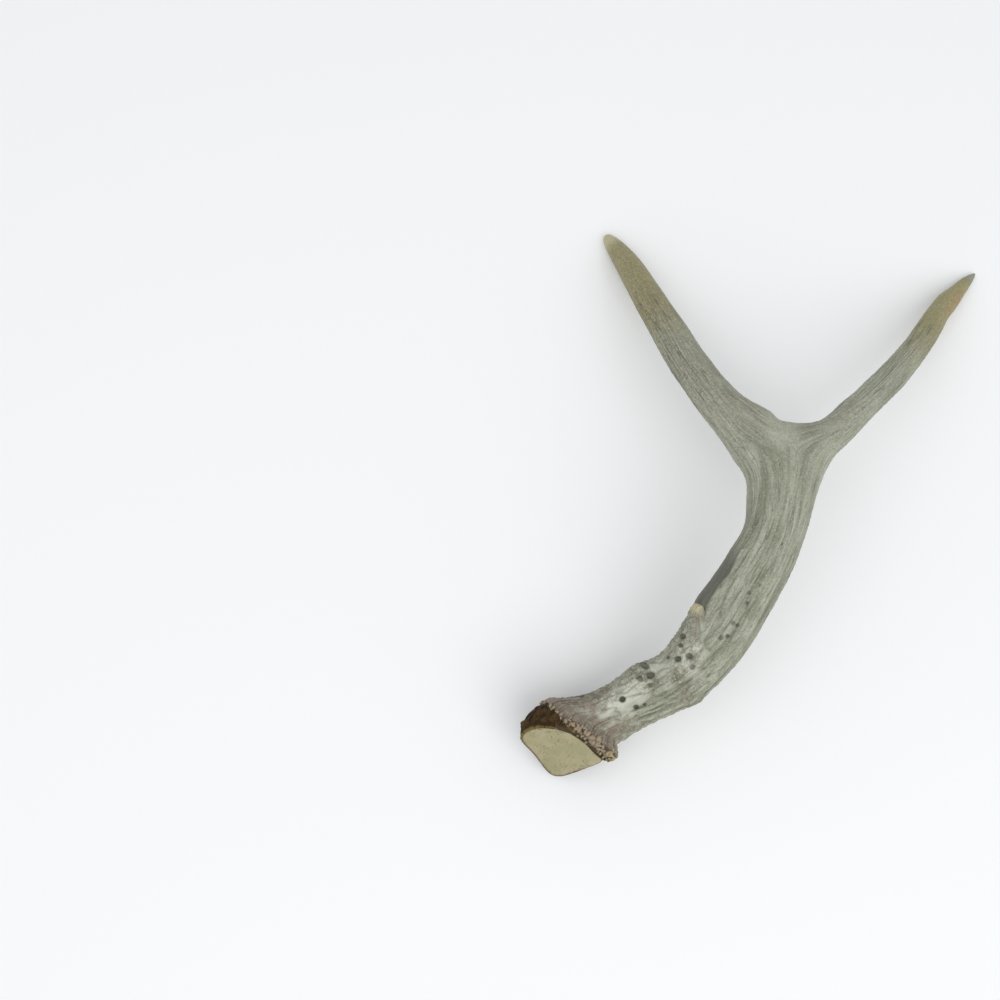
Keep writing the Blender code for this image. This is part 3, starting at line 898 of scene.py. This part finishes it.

# The knobs of the burr. Bone pearls stand round its lip like a coronet, longer than they are wide,
# ivory on their crowns, with brown flecks of dried blood and earth, and dark with painted shade
# towards the bone they stand on.
PEARL_ROWS = [  # how many, distance towards the pedicle, how proud, half width, half length
    (84, 2.0, 3.2, 0.80, 0.85),
    (92, 2.9, 2.5, 0.60, 0.62),
    (88, 1.1, 3.4, 0.65, 0.90),
    (44, 3.7, 1.7, 0.42, 0.45),
]
PEARL_IVORY = (0.430, 0.345, 0.150, 1)
PEARL_PINK = (0.290, 0.220, 0.165, 1)
PEARL_BROWN_AND_SHADE = (0.060, 0.038, 0.018, 1)

burr_bone, shader = new_finish("burr_bone")
colour = coat(burr_bone, mark(burr_bone, "tone"), PEARL_PINK, PEARL_IVORY)
# Painted shade: each pearl turns brown towards its foot, where it meets the bone, so only its crown stays
# light.
colour = coat(burr_bone, mark(burr_bone, "crown"), PEARL_BROWN_AND_SHADE, colour)
colour = coat(burr_bone, scaled(burr_bone, mottle(burr_bone, 0.8, 0.5, 0.75), 0.4), colour, PEARL_BROWN_AND_SHADE)
burr_bone.node_tree.links.new(colour, shader.inputs["Base Color"])
shader.inputs["Roughness"].default_value = 0.5

chance = np.random.default_rng(7)
left, up = side_and_up(-BURR_AXIS)
pearls_mesh = bmesh.new()
crown_of, tone_of = [], []
for count, towards_pedicle, proud, half_width, half_length in PEARL_ROWS:
    for k in range(count):
        angle = 2 * pi * (k + chance.uniform(-0.5, 0.5)) / count
        angle += 0.07 * sin(9 * angle + 2 * towards_pedicle)
        larger = 1 + 0.45 * max(0.0, cos(angle - radians(128))) ** 4
        width = half_width * chance.uniform(0.6, 1.3) * larger
        length = half_length * chance.uniform(0.5, 1.4) * larger
        tone = chance.uniform(0.0, 0.35) + 0.65 * fade(np.array(-cos(angle)), 0.55, 0.95).item()
        out = (cos(angle) * left + sin(angle) * up).normalized()
        around = out.cross(BURR_AXIS).normalized()
        stands = proud + chance.uniform(-0.7, 0.3) - 0.8 * max(0.0, -cos(angle + radians(10))) ** 3
        radius_across, radius_through = BURR_LIP_SECTION[3] + stands, BURR_LIP_SECTION[4] + stands
        middle = Vector(BURR_LIP_SECTION[:3]) + radius_across * cos(angle) * left
        middle += radius_through * sin(angle) * up + (towards_pedicle + chance.uniform(-0.6, 0.6)) * BURR_AXIS
        middle += float(swelling(np.array([middle]))[0]) * out
        lean = chance.uniform(-0.35, 0.35)
        made = bmesh.ops.create_icosphere(pearls_mesh, subdivisions=3, radius=1.0)["verts"]
        lowest = 0.0
        for corner in made:
            ball = corner.co.copy()
            swell = 1 + 0.22 * noise.noise(ball * 1.4 + Vector((k * 3.1, proud * 7.7, 0)))
            aside = ball.x * width + lean * ball.z * length
            spot = middle + swell * (aside * around + ball.y * width * out)
            spot += swell * ball.z * length * BURR_AXIS
            corner.co = spot * MM
            crown_of.append(0.5 + 0.5 * ball.y)
            tone_of.append(tone)
            lowest = min(lowest, spot.z)
        for corner in made:
            corner.co.z -= (lowest - 0.1) * MM if lowest < 0.0 else 0.0
pearl_data = bpy.data.meshes.new("burr_pearls")
pearls_mesh.to_mesh(pearl_data)
pearls_mesh.free()
pearl_data.shade_smooth()
pearl_data.materials.append(burr_bone)
keep_values(pearl_data, "crown", fade(np.array(crown_of), 0.35, 1.0))
keep_values(pearl_data, "tone", tone_of)
burr_pearls = bpy.data.objects.new("burr_pearls", pearl_data)
bpy.context.scene.collection.objects.link(burr_pearls)
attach(burr_pearls, "root")

# The dried hide. A collar of skin shrank onto the pedicle and dried hard, dark brown and fibrous.
# It is thick beside the burr on one side, thin as paper below, and ends in the saw cut.
HIDE_TURNS, HIDE_ROWS = 300, 36
HIDE_TOP = 1.2  # its upper edge, tucked under the knobs of the burr
HIDE_INSIDE = -0.35  # its inner side lies just inside the bone's surface
PAST_WAIST = 99.0  # so far from the burr, the pedicle has its full width
HIDE_BROWN = (0.028, 0.016, 0.005, 1)
HIDE_RED = (0.078, 0.045, 0.014, 1)
HIDE_GOLD = (0.180, 0.130, 0.030, 1)

dried_skin, shader = new_finish("dried_skin")
colour = coat(dried_skin, mottle(dried_skin, 2.2, 0.4, 0.65), HIDE_BROWN, HIDE_RED)
colour = coat(dried_skin, mark(dried_skin, "golden"), colour, HIDE_GOLD)
colour = coat(dried_skin, streaks(dried_skin, 0.5, 5.0, 0.5, 0.7), colour, HIDE_BROWN)
dried_skin.node_tree.links.new(colour, shader.inputs["Base Color"])
shader.inputs["Specular IOR Level"].default_value = 0.12
shader.inputs["Roughness"].default_value = 0.6

hide_turn, hide_row = np.meshgrid(
    2 * pi * np.arange(HIDE_TURNS) / HIDE_TURNS, np.linspace(0.0, 1.0, HIDE_ROWS), indexing="ij"
)
hide_turn, hide_row = hide_turn.ravel(), hide_row.ravel()
round_hide = np.column_stack([np.cos(hide_turn), np.sin(hide_turn), hide_row])
swollen = np.exp(-((((hide_turn - radians(9) + pi) % (2 * pi) - pi) / radians(28)) ** 2))
from_top = np.abs(np.mod(hide_turn - radians(85) + pi, 2 * pi) - pi)
thickness = 0.65 - 0.40 * fade(from_top, radians(50), radians(95))
thickness += 2.6 * swollen * (1 - 0.8 * fade(hide_row, 0.70, 1.0))
thickness *= 0.15 + 0.85 * fade(hide_row, 0.02, 0.28)
fibres = ripple(round_hide * np.array((26, 26, 3.0)), 31)
creases = vein(ripple(round_hide * np.array((9, 9, 1.5)), 32), 0.2)
thickness *= 1 + 0.25 * fibres + 0.15 * ripple(round_hide * np.array((7, 7, 6.0)), 33)
thickness -= 0.35 * creases * swollen
outer, inner, from_cut = [], [], []
for angle, row, thick in np.column_stack([hide_turn, hide_row, np.maximum(thickness, 0.12)]).tolist():
    for side, proud in ((outer, thick), (inner, HIDE_INSIDE)):
        at_burr = pedicle_place(angle, PAST_WAIST, proud) - PAST_WAIST * PEDICLE_AXIS
        cut = (SAW_POINT - at_burr).dot(SAW_NORMAL) / PEDICLE_AXIS.dot(SAW_NORMAL)
        side.append(pedicle_place(angle, HIDE_TOP + (cut - 0.05 - HIDE_TOP) * row, proud))
        from_cut.append((cut - HIDE_TOP) * (1 - row))
hide_points = np.array(outer + inner)
hide_faces = []
inside = HIDE_TURNS * HIDE_ROWS
for k in range(HIDE_TURNS):
    this, following = k * HIDE_ROWS, ((k + 1) % HIDE_TURNS) * HIDE_ROWS
    for row in range(HIDE_ROWS - 1):
        face = (this + row, following + row, following + row + 1, this + row + 1)
        hide_faces.append(face)
        hide_faces.append([corner + inside for corner in reversed(face)])
    end = HIDE_ROWS - 1
    hide_faces.append((this + inside, following + inside, following, this))
    hide_faces.append((this + end, following + end, following + end + inside, this + end + inside))
spread = hide_points - (np.array(BURR) + ((hide_points - np.array(BURR)) @ axis)[:, None] * axis)
spread /= np.linalg.norm(spread, axis=1, keepdims=True)
hide_points += swelling(hide_points)[:, None] * spread
over_cut = (hide_points - np.array(SAW_POINT)) @ saw_normal + 0.05
hide_points -= np.maximum(over_cut, 0.0)[:, None] * saw_normal
hide_points[:, 2] = np.maximum(hide_points[:, 2], 0.1)
hide_data = bpy.data.meshes.new("hide_collar")
hide_data.from_pydata((hide_points * MM).tolist(), [], hide_faces)
ragged = 0.5 * ripple(round_hide * np.array((9, 9, 3.0)), 34)
golden = 0.9 * (1 - fade(np.array(from_cut[::2]) + ragged, 0.1, 0.7))
golden += 0.8 * fade(np.cos(hide_turn - radians(135)), 0.3, 0.8)
hide_growth = np.column_stack([ROUND * np.cos(hide_turn), ROUND * np.sin(hide_turn), 10 * hide_row])
keep_values(hide_data, "golden", np.tile(np.clip(golden, 0, 1), 2))
keep_values(hide_data, "growth", np.tile(hide_growth, (2, 1)))
hide_data.shade_smooth()
hide_data.set_sharp_from_angle(angle=radians(50))
hide_data.materials.append(dried_skin)
hide_collar = bpy.data.objects.new("hide_collar", hide_data)
bpy.context.scene.collection.objects.link(hide_collar)
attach(hide_collar, "root")
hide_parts("dried_hide")
